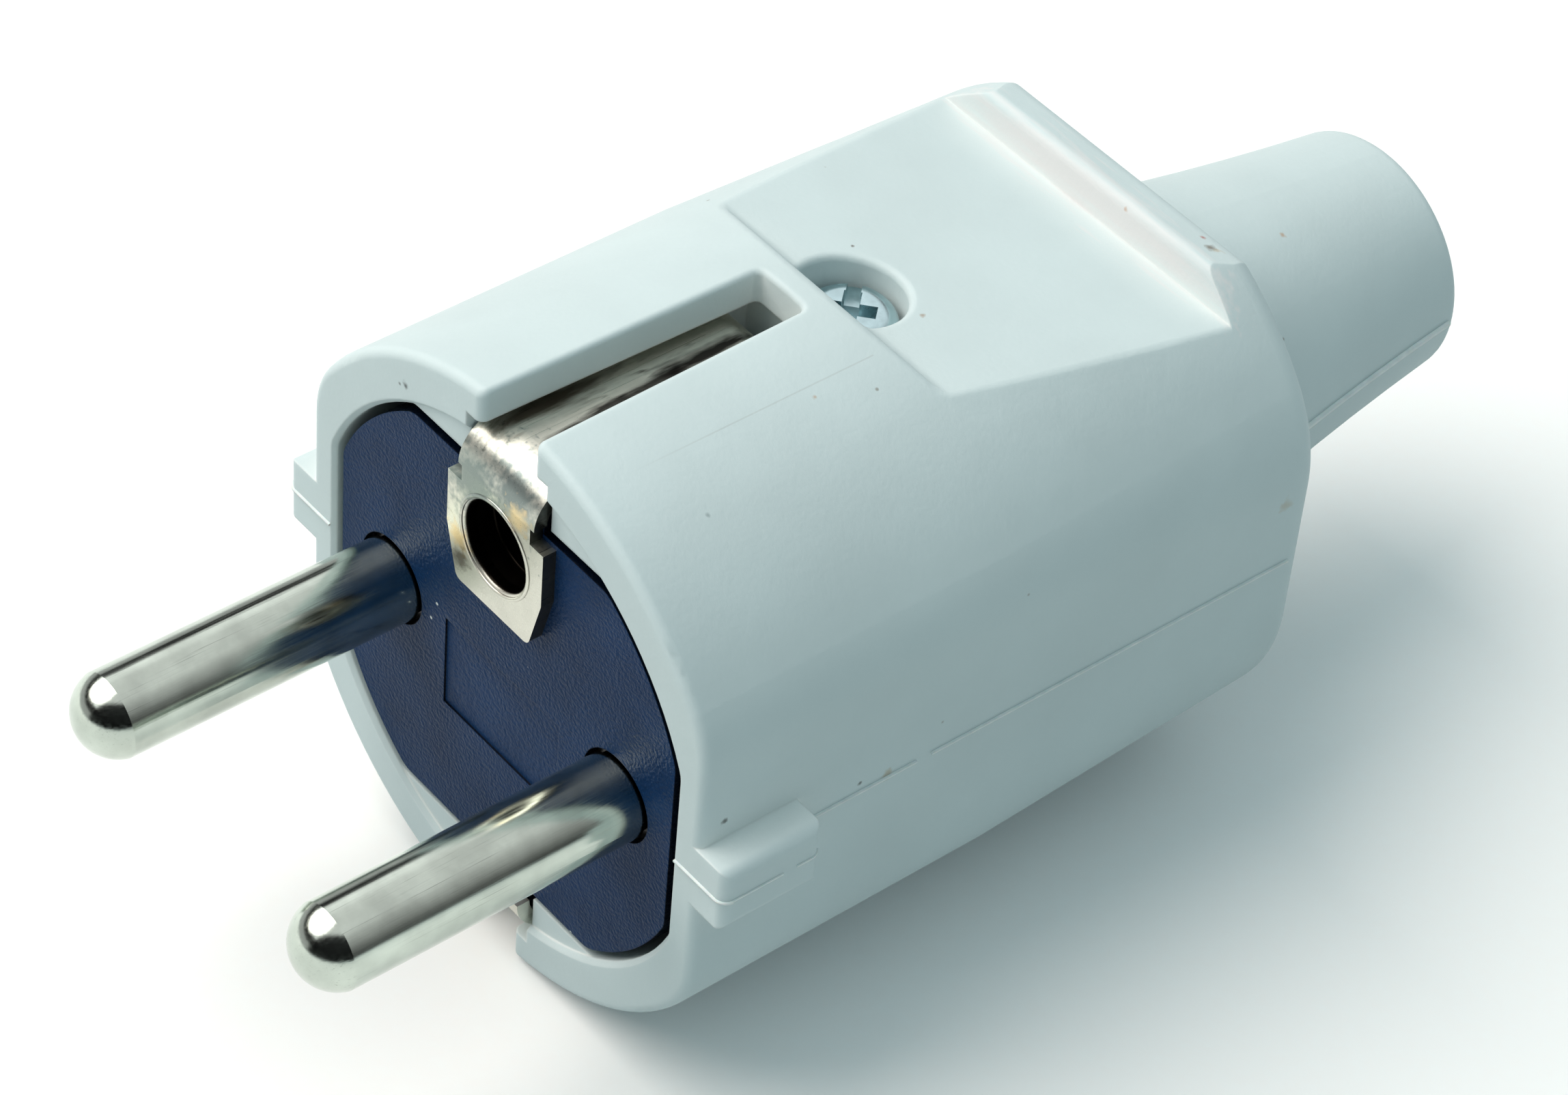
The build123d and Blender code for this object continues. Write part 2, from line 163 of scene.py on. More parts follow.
class PlugDetail(bpy.types.PropertyGroup):
    """Sizes of the fine detail."""

    flat_distance: length("Flat distance", "From the middle plane to a flat of the housing", 16.3)
    mouth_half_width: length("Mouth half width", "From the middle plane to the mouth's bevelled side", 14.65)
    tab_length: length("Tab length", "Length of a guide tab from the front", 6.2)
    tab_round: length("Tab rounding", "Radius on the edges of a guide tab", 0.6)
    body_length: length("Body length", "From the front of the housing to the root of the boot", 41.3)
    rear_round: length("Rear rounding", "Radius round the rear of the body", 1.5)
    boot_root_radius: length("Boot root radius", "Radius of the boot where it meets the body", 10.4)
    boot_tip_radius: length("Boot tip radius", "Radius of the boot at its end", 7.2)
    boot_waist: length("Boot waist", "How far the boot is drawn in at its middle", 0.25)
    flash_reach: length("Flash reach", "How far the mould flash stands out at most", 0.13)
    flash_thickness: length("Flash thickness", "Thickness of the mould flash", 0.12)
    boot_flash: number("Boot flash", "How many times larger the flash is along the boot", 1.8)
    screw_shank_radius: length("Screw shank radius", "Outside radius of the housing screw's thread", 1.5)
    screw_head_height: length("Screw head height", "Height of the housing screw's pan head", 2.2)
    thread_pitch: length("Thread pitch", "Pitch of the housing screw's thread", 0.5)
    thread_depth: length("Thread depth", "Depth of the housing screw's thread", 0.3)
    recess_length: length("Recess length", "Length of each arm of the cross recess", 3.3)
    recess_width: length("Recess width", "Width of each arm of the cross recess", 0.95)
    recess_depth: length("Recess depth", "Depth of the cross recess", 1.5)
    slot_width: length("Slot width", "Width of the slot across the head", 0.8)
    slot_depth: length("Slot depth", "Depth of the slot across the head", 0.75)
    recess_turn: angle("Recess turn", "How far the screw was turned home", 132)
    lip_width: length("Lip width", "Width of the rolled lip round the earth hole", 0.26)
    lip_height: length("Lip height", "How far that lip stands off the plate", 0.08)
    bead_height: length("Bead height", "How far the bead inside the earth tube stands in", 0.11)
    bead_depth: length("Bead depth", "How far that bead lies behind the plate's front", 1.9)


class PlugStage(bpy.types.PropertyGroup):
    """Camera, floor and lights."""

    azimuth: angle("Azimuth", "Where the camera stands round the plug", 47.495)
    elevation: angle("Elevation", "How high the camera stands", 43.201)
    roll: angle("Roll", "How far the camera is tilted sideways", 5.3006)
    distance: length("Distance", "From the origin to the camera along the view", 250.319)
    aside: length("Aside", "How far the camera stands to the right of the origin", 14.529)
    above: length("Above", "How far the camera stands above the origin in the picture", 7.057)
    lens: bpy.props.FloatProperty(
        name="Lens", description="Focal length for a 36 mm sensor", default=113.40, subtype="DISTANCE_CAMERA"
    )
    floor_size: length("Floor size", "Side of the floor", 6000)
    key_power: bpy.props.FloatProperty(
        name="Key power", description="Power of the soft box", default=8.2, unit="POWER"
    )
    key_size: length("Key size", "Diameter of the soft box", 900)
    key_tint: colour("Key tint", "Colour of the soft box", "#FFF8F1")
    ambient_low: number("Ambient, low", "Level of the light from all round at the horizon", 0.24)
    ambient_high: number("Ambient, high", "Level of the light from all round overhead", 0.70)
    ambient_tint: colour("Ambient tint", "Colour of the light from all round", "#DCF7FC")
    bounce: colour("Bounce", "Tone of the floor in bounced light", "#C2CACB")


class PlugSettings(bpy.types.PropertyGroup):
    """All the plug's settings."""

    colours: bpy.props.PointerProperty(type=PlugColours)
    detail: bpy.props.PointerProperty(type=PlugDetail)
    stage: bpy.props.PointerProperty(type=PlugStage)


# Stains and painted light are laid as groups of marks, each group with the stretch of its coordinates: a
# value under 1 draws the marks out along that axis. A mark is its place and radius in millimetres, its sRGB
# colour and its strength.
ROUND = (1.0, 1.0, 1.0)

# First a painted highlight: the front face of the rear ridge drawn whiter and warmer along its length, then
# specks and smudges
HOUSING_STAINS_AND_HIGHLIGHT = (
    ((0.1, 1.0, 1.0), (
        ((0.0, 38.1, 14.8), 1.5, "#E0DBDA", 0.85),
    )),
    (ROUND, (
        ((6.5, 40.1, 15.3), 0.2, "#A8493C", 0.7),
        ((7.4, 39.8, 15.4), 0.35, "#6E5D4C", 0.75),
        ((7.8, 39.9, 15.2), 0.3, "#B79A6C", 0.5),
        ((2.5, 38.2, 15.3), 0.16, "#B98455", 0.6),
        ((3.0, 50.4, 8.2), 0.2, "#B98455", 0.6),
        ((-3.0, 24.3, 15.6), 0.14, "#5A4A40", 0.8),
        ((3.3, 23.7, 15.7), 0.2, "#A08670", 0.7),
        ((6.4, 14.0, 17.3), 0.16, "#B58A66", 0.5),
        ((9.1, 5.3, 16.1), 0.16, "#6F7F80", 0.5),
        ((-8.3, 0.0, 14.3), 0.24, "#3F4142", 0.8),
        ((-8.8, 0.0, 14.1), 0.14, "#4A4A48", 0.7),
        ((16.3, 1.6, 3.2), 0.2, "#3E3A36", 0.75),
        ((16.3, 10.4, 0.6), 0.16, "#3E3A36", 0.75),
        ((16.3, 12.2, 0.1), 0.45, "#A98F62", 0.5),
        ((16.1, 38.9, 4.4), 0.6, "#B59F80", 0.4),
    )),
)

# First the earth strip's plate: painted reflection, darker grey over its top and warm yellow in two patches
# by the hole, then a dark place low on the left.
# Then streaks along its arm: brown painted shade by the slot's wall and black on the other side, widest at
# the rear.
STRIP_MARKS_AND_PAINTED_LIGHT = (
    (ROUND, (
        ((-1.8, -0.5, 13.0), 3.2, "#7F8B87", 0.95),
        ((1.2, -0.5, 14.4), 2.6, "#7C8785", 0.95),
        ((1.8, -0.5, 13.2), 1.0, "#EBD3A6", 0.9),
        ((-2.9, -0.5, 8.5), 1.1, "#DCC08A", 0.8),
        ((-2.7, -0.5, 7.2), 0.8, "#4A3F30", 0.7),
    )),
    ((1.0, 0.2, 1.0), (
        ((-2.1, 3.6, 15.8), 1.1, "#4A3A26", 0.85),
        ((-0.4, 12.6, 15.8), 0.85, "#191613", 0.97),
        ((-0.2, 9.6, 15.8), 0.6, "#191613", 0.9),
        ((-0.05, 6.6, 15.8), 0.5, "#191613", 0.9),
        ((0.1, 4.0, 15.8), 0.4, "#191613", 0.85),
    )),
)


def stains_and_painted_light(tree, place, surface, stain_and_light_marks):
    """Colour with marks of ragged outline laid over it."""
    for stretch, marks in stain_and_light_marks:
        drawn = add(tree, "ShaderNodeMapping", {"Vector": place, "Scale": stretch}).outputs[0]
        ragged = add(tree, "ShaderNodeTexNoise", {"Vector": drawn, "Scale": per_mm(0.4), "Detail": 2.0})
        for centre, radius, hex_colour, strength in marks:
            middle = Vector(centre) * Vector(stretch) * MM
            away = add(tree, "ShaderNodeVectorMath", {0: drawn, 1: middle}, operation="DISTANCE")
            ragged_marks = add(tree, "ShaderNodeMath", {0: away.outputs["Value"], 1: ragged.outputs[0]},
                       operation="MULTIPLY")
            rim = 0.5 * radius * MM
            core = 0.15 * radius * MM
            mask = add(tree, "ShaderNodeMapRange",
                       {"Value": ragged_marks.outputs[0], 1: rim, 2: core, 3: 0.0, 4: strength})
            mark = add(tree, "ShaderNodeMix", {0: mask.outputs[0], 6: surface, 7: linear(hex_colour)},
                       data_type="RGBA")
            surface = mark.outputs[2]
    return surface


# Typical of polyamide, with its reflections held back by the fine pebble
POLYAMIDE_IOR = 1.53
POLYAMIDE_SPECULAR = 0.35


def moulded_polyamide_grey(colours):
    """Light grey polyamide from a spark-eroded mould: matt, finely pebbled, with soft pale edges that are a
    painted highlight, and a few brown specks."""
    material, tree = new_material("moulded_polyamide_grey")
    place = add(tree, "ShaderNodeTexCoord").outputs["Object"]
    # Broad cloudiness of the pigment, about 7 mm across
    clouds = add(tree, "ShaderNodeTexNoise", {"Vector": place, "Scale": per_mm(7.0), "Detail": 3.0})
    shade = add(tree, "ShaderNodeMapRange", {"Value": clouds.outputs[0], 1: 0.3, 2: 0.7, 3: 0.965, 4: 1.02})
    tint = add(tree, "ShaderNodeVectorMath", {0: tuple(colours.housing)[:3], "Scale": shade.outputs[0]},
               operation="SCALE")
    # Painted highlight: a pale line along every edge, where the bevelled normal turns from the face's own
    soft = add(tree, "ShaderNodeBevel", {"Radius": 0.18 * MM}, samples=8)
    flat = add(tree, "ShaderNodeNewGeometry")
    turn = add(tree, "ShaderNodeVectorMath", {0: soft.outputs[0], 1: flat.outputs["Normal"]},
               operation="DOT_PRODUCT")
    edge = add(tree, "ShaderNodeMapRange", {"Value": turn.outputs["Value"], 1: 0.99, 2: 0.86, 3: 0.0, 4: 0.4})
    pale = add(tree, "ShaderNodeMix", {0: edge.outputs[0], 6: tint.outputs[0], 7: colours.housing_pale_and_painted_light},
               data_type="RGBA")
    # Light that comes through the plastic into wells and slots
    sheltered = add(tree, "ShaderNodeAmbientOcclusion", {"Distance": 3.0 * MM}, samples=4, only_local=True)
    glow = add(tree, "ShaderNodeMapRange",
               {"Value": sheltered.outputs["AO"], 1: 0.9, 2: 0.35, 3: 0.0, 4: 1.0})
    lifted = add(tree, "ShaderNodeMix", {0: glow.outputs[0], 6: pale.outputs[2], 7: colours.housing_pale_and_painted_light},
                 data_type="RGBA")
    # Scattered specks, up to 0.25 mm across, in the few cells of 5 mm whose middle lies at the surface
    cells = add(tree, "ShaderNodeTexVoronoi", {"Vector": place, "Scale": per_mm(5.0)})
    speck = add(tree, "ShaderNodeMapRange",
                {"Value": cells.outputs["Distance"], 1: 0.026, 2: 0.012, 3: 0.0, 4: 0.6})
    speckled = add(tree, "ShaderNodeMix", {0: speck.outputs[0], 6: lifted.outputs[2], 7: colours.dirt},
                   data_type="RGBA")
    # Specks and smudges, and the painted highlight on the rear ridge's face
    ragged_marks = stains_and_painted_light(tree, place, speckled.outputs[2], HOUSING_STAINS_AND_HIGHLIGHT)
    witness = add(tree, "ShaderNodeMix", {0: witness_line(tree, place), 6: ragged_marks, 7: colours.dirt},
                  data_type="RGBA")
    # Pebble of the mould, drawn at 0.3 mm so that it shows, over a faint orange peel
    pebble = add(tree, "ShaderNodeTexNoise", {"Vector": place, "Scale": per_mm(0.3), "Detail": 2.0})
    peel = add(tree, "ShaderNodeTexNoise", {"Vector": place, "Scale": per_mm(1.6), "Detail": 1.0})
    relief = add(tree, "ShaderNodeMath", {0: peel.outputs[0], 1: 1.2, 2: pebble.outputs[0]},
                 operation="MULTIPLY_ADD")
    bump = add(tree, "ShaderNodeBump", {
        "Height": relief.outputs[0], "Strength": 0.28, "Distance": 0.05 * MM, "Normal": soft.outputs[0],
    })
    rough = add(tree, "ShaderNodeMapRange", {"Value": pebble.outputs[0], 3: 0.5, 4: 0.66})
    shader = add(tree, "ShaderNodeBsdfPrincipled", {
        "Base Color": witness.outputs[2], "Roughness": rough.outputs[0], "Normal": bump.outputs[0],
        "IOR": POLYAMIDE_IOR, "Specular IOR Level": POLYAMIDE_SPECULAR, "Subsurface Weight": 0.25,
        "Subsurface Radius": (1.0, 1.0, 1.0), "Subsurface Scale": 1.2 * MM,
    })
    add(tree, "ShaderNodeOutputMaterial", {"Surface": shader.outputs[0]})
    return material


# Line that a mould insert leaves on top of the housing, in millimetres
WITNESS_ASIDE = 5.8
WITNESS_HALF_WIDTH = 0.04
WITNESS_FADE = (3.0, 8.0)
WITNESS_END = 18.2
WITNESS_STRENGTH = 0.14


def witness_line(tree, place):
    """Mask of that line: beside the slot, fading in from the front and ending at the panel."""
    parts = add(tree, "ShaderNodeSeparateXYZ", {0: place}).outputs
    beside = add(tree, "ShaderNodeMath", {0: parts["X"], 1: WITNESS_ASIDE * MM, 2: WITNESS_HALF_WIDTH * MM},
                 operation="COMPARE")
    ahead = add(tree, "ShaderNodeMath", {0: parts["Y"], 1: WITNESS_END * MM}, operation="LESS_THAN")
    above = add(tree, "ShaderNodeMath", {0: parts["Z"], 1: 0.0}, operation="GREATER_THAN")
    start, full = WITNESS_FADE
    line = add(tree, "ShaderNodeMapRange",
               {"Value": parts["Y"], 1: start * MM, 2: full * MM, 3: 0.0, 4: WITNESS_STRENGTH})
    for limit in (beside, ahead, above):
        line = add(tree, "ShaderNodeMath", {0: line.outputs[0], 1: limit.outputs[0]}, operation="MULTIPLY")
    return line.outputs[0]


def whitened_flash(colours):
    """Polyamide squeezed out of the mould joint: thin, so it is paler than the wall it stands on."""
    material, tree = new_material("whitened_polyamide_flash")
    place = add(tree, "ShaderNodeTexCoord").outputs["Object"]
    streaks = add(tree, "ShaderNodeTexNoise", {"Vector": place, "Scale": per_mm(0.9), "Detail": 2.0})
    tone = add(tree, "ShaderNodeMix", {0: streaks.outputs[0], 6: colours.housing, 7: colours.housing_pale_and_painted_light},
               data_type="RGBA")
    shader = add(tree, "ShaderNodeBsdfPrincipled", {
        "Base Color": tone.outputs[2], "Roughness": 0.55, "IOR": POLYAMIDE_IOR,
        "Specular IOR Level": POLYAMIDE_SPECULAR, "Subsurface Weight": 0.2, "Subsurface Scale": 0.2 * MM,
    })
    add(tree, "ShaderNodeOutputMaterial", {"Surface": shader.outputs[0]})
    return material


def moulded_urea_slate(colours):
    """Slate blue thermoset: harder and glossier than the housing, with a fine leathery grain that breaks up
    the pins' reflections, and a few pale dust specks."""
    material, tree = new_material("moulded_urea_slate")
    place = add(tree, "ShaderNodeTexCoord").outputs["Object"]
    clouds = add(tree, "ShaderNodeTexNoise", {"Vector": place, "Scale": per_mm(4.0), "Detail": 3.0})
    shade = add(tree, "ShaderNodeMapRange", {"Value": clouds.outputs[0], 1: 0.3, 2: 0.7, 3: 0.85, 4: 1.15})
    tint = add(tree, "ShaderNodeVectorMath", {0: tuple(colours.insert)[:3], "Scale": shade.outputs[0]},
               operation="SCALE")
    # Pale dust, in the few cells of 3.4 mm whose middle lies at the surface
    cells = add(tree, "ShaderNodeTexVoronoi", {"Vector": place, "Scale": per_mm(3.4)})
    dust = add(tree, "ShaderNodeMapRange",
               {"Value": cells.outputs["Distance"], 1: 0.034, 2: 0.02, 3: 0.0, 4: 0.75})
    dusty = add(tree, "ShaderNodeMix", {0: dust.outputs[0], 6: tint.outputs[0], 7: colours.housing_pale_and_painted_light},
                data_type="RGBA")
    # The sides lie in the gap round the insert, where no light gets in
    normal = add(tree, "ShaderNodeNewGeometry").outputs["Normal"]
    facing = add(tree, "ShaderNodeSeparateXYZ", {0: normal}).outputs["Y"]
    lit = add(tree, "ShaderNodeMapRange", {"Value": facing, 1: -0.3, 2: -0.7, 3: 0.1, 4: 1.0})
    shown = add(tree, "ShaderNodeVectorMath", {0: dusty.outputs[2], "Scale": lit.outputs[0]},
                operation="SCALE")
    # Grain of the tool, about 0.2 mm, with finer grit on it
    grain = add(tree, "ShaderNodeTexNoise", {"Vector": place, "Scale": per_mm(0.22), "Detail": 3.0})
    soft = add(tree, "ShaderNodeBevel", {"Radius": 0.12 * MM}, samples=6)
    bump = add(tree, "ShaderNodeBump", {
        "Height": grain.outputs[0], "Strength": 0.8, "Distance": 0.12 * MM, "Normal": soft.outputs[0],
    })
    rough = add(tree, "ShaderNodeMapRange", {"Value": grain.outputs[0], 3: 0.22, 4: 0.45})
    shader = add(tree, "ShaderNodeBsdfPrincipled", {
        "Base Color": shown.outputs[0], "Roughness": rough.outputs[0], "Normal": bump.outputs[0],
        "IOR": 1.56, "Specular IOR Level": 0.04,
    })
    add(tree, "ShaderNodeOutputMaterial", {"Surface": shader.outputs[0]})
    return material


def nickel_plate(name, tint, painted_shade_dark, dark, stain_and_light_marks, dullest, smoothest, roughest):
    """Nickel over brass: a grey mirror with drawn scratches along the part, cloudy, tarnished patches and
    marks of staining and painted light, and painted shade in a dark colour where a mask of the place says so."""
    material, tree = new_material(name)
    place = add(tree, "ShaderNodeTexCoord").outputs["Object"]
    # Drawn scratches: noise stretched along the length, about 0.09 mm wide and 7 mm long
    drawn = add(tree, "ShaderNodeMapping", {"Vector": place, "Scale": (1.0, 0.012, 1.0)})
    scratches = add(tree, "ShaderNodeTexNoise",
                    {"Vector": drawn.outputs[0], "Scale": per_mm(0.09), "Detail": 4.0, "Roughness": 0.65})
    patches = add(tree, "ShaderNodeTexNoise", {"Vector": place, "Scale": per_mm(2.2), "Detail": 4.0})
    cloudy = add(tree, "ShaderNodeMapRange",
                 {"Value": patches.outputs[0], 1: 0.35, 2: 0.65, 3: 1.0, 4: dullest})
    lined = add(tree, "ShaderNodeMapRange",
                {"Value": scratches.outputs[0], 1: 0.62, 2: 0.74, 3: 1.0, 4: 0.55})
    shade = add(tree, "ShaderNodeMath", {0: cloudy.outputs[0], 1: lined.outputs[0]}, operation="MULTIPLY")
    plate = add(tree, "ShaderNodeVectorMath", {0: tuple(tint)[:3], "Scale": shade.outputs[0]},
                operation="SCALE")
    marked = stains_and_painted_light(tree, place, plate.outputs[0], stain_and_light_marks)
    # Painted shade: the dark colour where the mask says so
    tone = add(tree, "ShaderNodeMix", {0: dark(tree, place), 6: marked, 7: painted_shade_dark}, data_type="RGBA")
    rough = add(tree, "ShaderNodeMapRange",
                {"Value": scratches.outputs[0], 1: 0.3, 2: 0.75, 3: smoothest, 4: roughest})
    bump = add(tree, "ShaderNodeBump",
               {"Height": scratches.outputs[0], "Strength": 0.1, "Distance": 0.03 * MM})
    shader = add(tree, "ShaderNodeBsdfPrincipled", {
        "Base Color": tone.outputs[2], "Metallic": 1.0, "Roughness": rough.outputs[0],
        "Normal": bump.outputs[0],
    })
    add(tree, "ShaderNodeOutputMaterial", {"Surface": shader.outputs[0]})
    return material


def behind_face(tree, place):
    """Mask of painted shade on the pins' seats: everything behind the carrier's face, so that the ring round
    each pin is dark.
    """
    depth = add(tree, "ShaderNodeSeparateXYZ", {0: place}).outputs["Y"]
    return add(tree, "ShaderNodeMapRange", {"Value": depth, 1: 0.15 * MM, 2: 0.3 * MM}).outputs[0]


def painted_shade_edges(tree, place):
    """Mask of painted shade on the plate's sheared sides and on the wall of the earth hole as far as its
    rounded edge.
    """
    normal = add(tree, "ShaderNodeNewGeometry").outputs["Normal"]
    sideways = add(tree, "ShaderNodeSeparateXYZ", {0: normal}).outputs["X"]
    aside = add(tree, "ShaderNodeMath", {0: sideways}, operation="ABSOLUTE")
    sheared = add(tree, "ShaderNodeMapRange", {"Value": aside.outputs[0], 1: 0.75, 2: 0.95, 3: 0.0, 4: 0.85})
    height = add(tree, "ShaderNodeSeparateXYZ", {0: place}).outputs["Z"]
    above = add(tree, "ShaderNodeMath", {0: height, 1: 0.0}, operation="GREATER_THAN")
    upper = add(tree, "ShaderNodeMath", {0: sheared.outputs[0], 1: above.outputs[0]}, operation="MULTIPLY")
    flat = add(tree, "ShaderNodeVectorMath", {0: place, 1: (1.0, 0.0, 1.0)}, operation="MULTIPLY")
    away = add(tree, "ShaderNodeVectorMath", {0: flat.outputs[0], 1: (0.0, 0.0, HOLE_HEIGHT)},
               operation="DISTANCE")
    hole = add(tree, "ShaderNodeMapRange",
               {"Value": away.outputs["Value"], 1: HOLE_RADIUS + 0.09 * MM, 2: HOLE_RADIUS + 0.03 * MM})
    edges = add(tree, "ShaderNodeMath", {0: upper.outputs[0], 1: hole.outputs[0]}, operation="MAXIMUM")
    return edges.outputs[0]


def painted_shade_brass(colours):
    """Inside of the earth tube: painted shade, brass coloured nearly black, which leaves the hole dark with a
    faint sheen.
    """
    material, tree = new_material("painted_shade_brass")
    place = add(tree, "ShaderNodeTexCoord").outputs["Object"]
    bloom = add(tree, "ShaderNodeTexNoise", {"Vector": place, "Scale": per_mm(0.6), "Detail": 3.0})
    rough = add(tree, "ShaderNodeMapRange", {"Value": bloom.outputs[0], 3: 0.35, 4: 0.6})
    shader = add(tree, "ShaderNodeBsdfPrincipled",
                 {"Base Color": colours.painted_shade_dark, "Metallic": 1.0, "Roughness": rough.outputs[0]})
    add(tree, "ShaderNodeOutputMaterial", {"Surface": shader.outputs[0]})
    return material


def zinc_plate(colours):
    """Blue passivated zinc on steel: bright, a little cloudy and faintly iridescent blue-green."""
    material, tree = new_material("zinc_plated_steel")
    place = add(tree, "ShaderNodeTexCoord").outputs["Object"]
    clouds = add(tree, "ShaderNodeTexNoise", {"Vector": place, "Scale": per_mm(0.7), "Detail": 4.0})
    shade = add(tree, "ShaderNodeMapRange", {"Value": clouds.outputs[0], 1: 0.3, 2: 0.7, 3: 0.8, 4: 1.05})
    tint = add(tree, "ShaderNodeVectorMath", {0: tuple(colours.zinc)[:3], "Scale": shade.outputs[0]},
               operation="SCALE")
    rough = add(tree, "ShaderNodeMapRange", {"Value": clouds.outputs[0], 3: 0.14, 4: 0.34})
    bump = add(tree, "ShaderNodeBump", {"Height": clouds.outputs[0], "Strength": 0.15, "Distance": 0.03 * MM})
    shader = add(tree, "ShaderNodeBsdfPrincipled", {
        "Base Color": tint.outputs[0], "Metallic": 1.0, "Roughness": rough.outputs[0],
        "Normal": bump.outputs[0],
    })
    add(tree, "ShaderNodeOutputMaterial", {"Surface": shader.outputs[0]})
    return material


def studio_paper(bounce):
    """White paper floor: white to the camera and in reflections, mid grey to bounced light so that it
    doesn't wash out the underside."""
    material, tree = new_material("studio_paper")
    rays = add(tree, "ShaderNodeLightPath").outputs
    seen = rays["Is Camera Ray"]
    for kind in ("Is Glossy Ray", "Is Transmission Ray"):
        seen = add(tree, "ShaderNodeMath", {0: seen, 1: rays[kind]}, operation="MAXIMUM").outputs[0]
    place = add(tree, "ShaderNodeTexCoord").outputs["Object"]
    fibre = add(tree, "ShaderNodeTexNoise", {"Vector": place, "Scale": per_mm(0.8), "Detail": 2.0})
    paper = add(tree, "ShaderNodeMix", {0: fibre.outputs[0], 6: linear("#FFFAF8"), 7: linear("#FFFDFC")},
                data_type="RGBA")
    tone = add(tree, "ShaderNodeMix", {0: seen, 6: bounce, 7: paper.outputs[2]}, data_type="RGBA")
    shader = add(tree, "ShaderNodeBsdfDiffuse", {"Color": tone.outputs[2]})
    add(tree, "ShaderNodeOutputMaterial", {"Surface": shader.outputs[0]})
    return material


def dress(material, *nodes):
    """Gives CAD nodes a finish in place of their plain one."""
    for name in nodes:
        for slot in frame["nodes"][name].material_slots:
            slot.material = material


def place_piece(name, mesh, slot, *nodes):
    """Adds a finished mesh as a piece of the plug, standing for CAD nodes where any are named."""
    piece = bpy.data.objects.new(name, mesh)
    bpy.context.scene.collection.objects.link(piece)
    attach(piece, BODY)
    if nodes:
        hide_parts(*nodes)


def evaluated(source):
    """Plain mesh of an object with its modifiers applied. The object itself is then removed."""
    bpy.context.view_layer.update()
    shape = source.evaluated_get(bpy.context.evaluated_depsgraph_get())
    mesh = bpy.data.meshes.new_from_object(shape)
    bpy.data.objects.remove(source)
    return mesh


def temporary(name, mesh):
    """A linked object that only carries modifiers."""
    source = bpy.data.objects.new(name, mesh)
    bpy.context.scene.collection.objects.link(source)
    return source


def grown(tree, mesh, name, **inputs):
    """Plain mesh that a node tree makes of a mesh, with inputs given by their names."""
    source = temporary(name, mesh)
    modifier = source.modifiers.new(name, "NODES")
    modifier.node_group = tree
    for item in tree.interface.items_tree:
        if item.in_out == "INPUT" and item.name in inputs:
            modifier[item.identifier] = inputs[item.name]
    return evaluated(source)


def node_tree(name, **inputs):
    """Geometry node tree that takes a geometry and named numbers; gives the tree and its input sockets."""
    tree = bpy.data.node_groups.new(name, "GeometryNodeTree")
    tree.interface.new_socket("Geometry", in_out="INPUT", socket_type="NodeSocketGeometry")
    for label, value in inputs.items():
        socket = tree.interface.new_socket(label, in_out="INPUT", socket_type="NodeSocketFloat")
        socket.default_value = value
    tree.interface.new_socket("Geometry", in_out="OUTPUT", socket_type="NodeSocketGeometry")
    return tree, add(tree, "NodeGroupInput").outputs


def lathe(profile, turns=64):
    """Bmesh of a profile of (radius, height) pairs spun round Z, closed at both ends."""
    shape = bmesh.new()
    rings = []
    for radius, height in profile:
        if radius == 0:
            rings.append([shape.verts.new((0, 0, height))])
            continue
        angles = [2 * pi * i / turns for i in range(turns)]
        rings.append([shape.verts.new((radius * cos(a), radius * sin(a), height)) for a in angles])
    for low, high in zip(rings, rings[1:]):
        for i in range(turns):
            j = (i + 1) % turns
            corners = [low[i % len(low)], low[j % len(low)], high[j % len(high)], high[i % len(high)]]
            shape.faces.new(list(dict.fromkeys(corners)))
    bmesh.ops.recalc_face_normals(shape, faces=shape.faces)
    return shape


def plain_mesh(shape, name):
    """Mesh of a bmesh, which is then freed."""
    mesh = bpy.data.meshes.new(name)
    shape.to_mesh(mesh)
    shape.free()
    return mesh


def smooth(mesh, sharp_angle=32):
    """Smooth shading with sharp edges kept."""
    mesh.shade_smooth()
    mesh.set_sharp_from_angle(angle=radians(sharp_angle))


class PLUG_OT_housing(bpy.types.Operator):
    """Finish the moulded housing"""

    bl_idname = "plug.housing"
    bl_label = "Housing"

    def execute(self, context):
        dress(moulded_polyamide_grey(context.scene.plug.colours), "housing")
        return {"FINISHED"}


class PLUG_OT_insert(bpy.types.Operator):
    """Finish the contact carrier and the cord clamp"""

    bl_idname = "plug.insert"
    bl_label = "Insert"

    def execute(self, context):
        dress(moulded_urea_slate(context.scene.plug.colours), "contact_carrier", "cord_clamp")
        return {"FINISHED"}


class PLUG_OT_contacts(bpy.types.Operator):
    """Finish the pins, the earth strip and its tube"""

    bl_idname = "plug.contacts"
    bl_label = "Contacts"

    def execute(self, context):
        colours = context.scene.plug.colours
        # Painted shade: the pins are dark behind the carrier's face, the strip on its sheared sides and hole
        # wall, and the tube inside
        bright = nickel_plate("bright_nickel_on_brass", colours.nickel, colours.painted_shade_dark, behind_face, (),
                              dullest=0.8, smoothest=0.08, roughest=0.24)
        dull = nickel_plate("dull_nickel_on_brass", colours.strip, colours.painted_shade_dark, painted_shade_edges, STRIP_MARKS_AND_PAINTED_LIGHT,
                            dullest=0.85, smoothest=0.24, roughest=0.46)
        dress(bright, "line_pin", "neutral_pin")
        dress(dull, "earth_strip")
        dress(painted_shade_brass(colours), "earth_pin_socket")
        return {"FINISHED"}


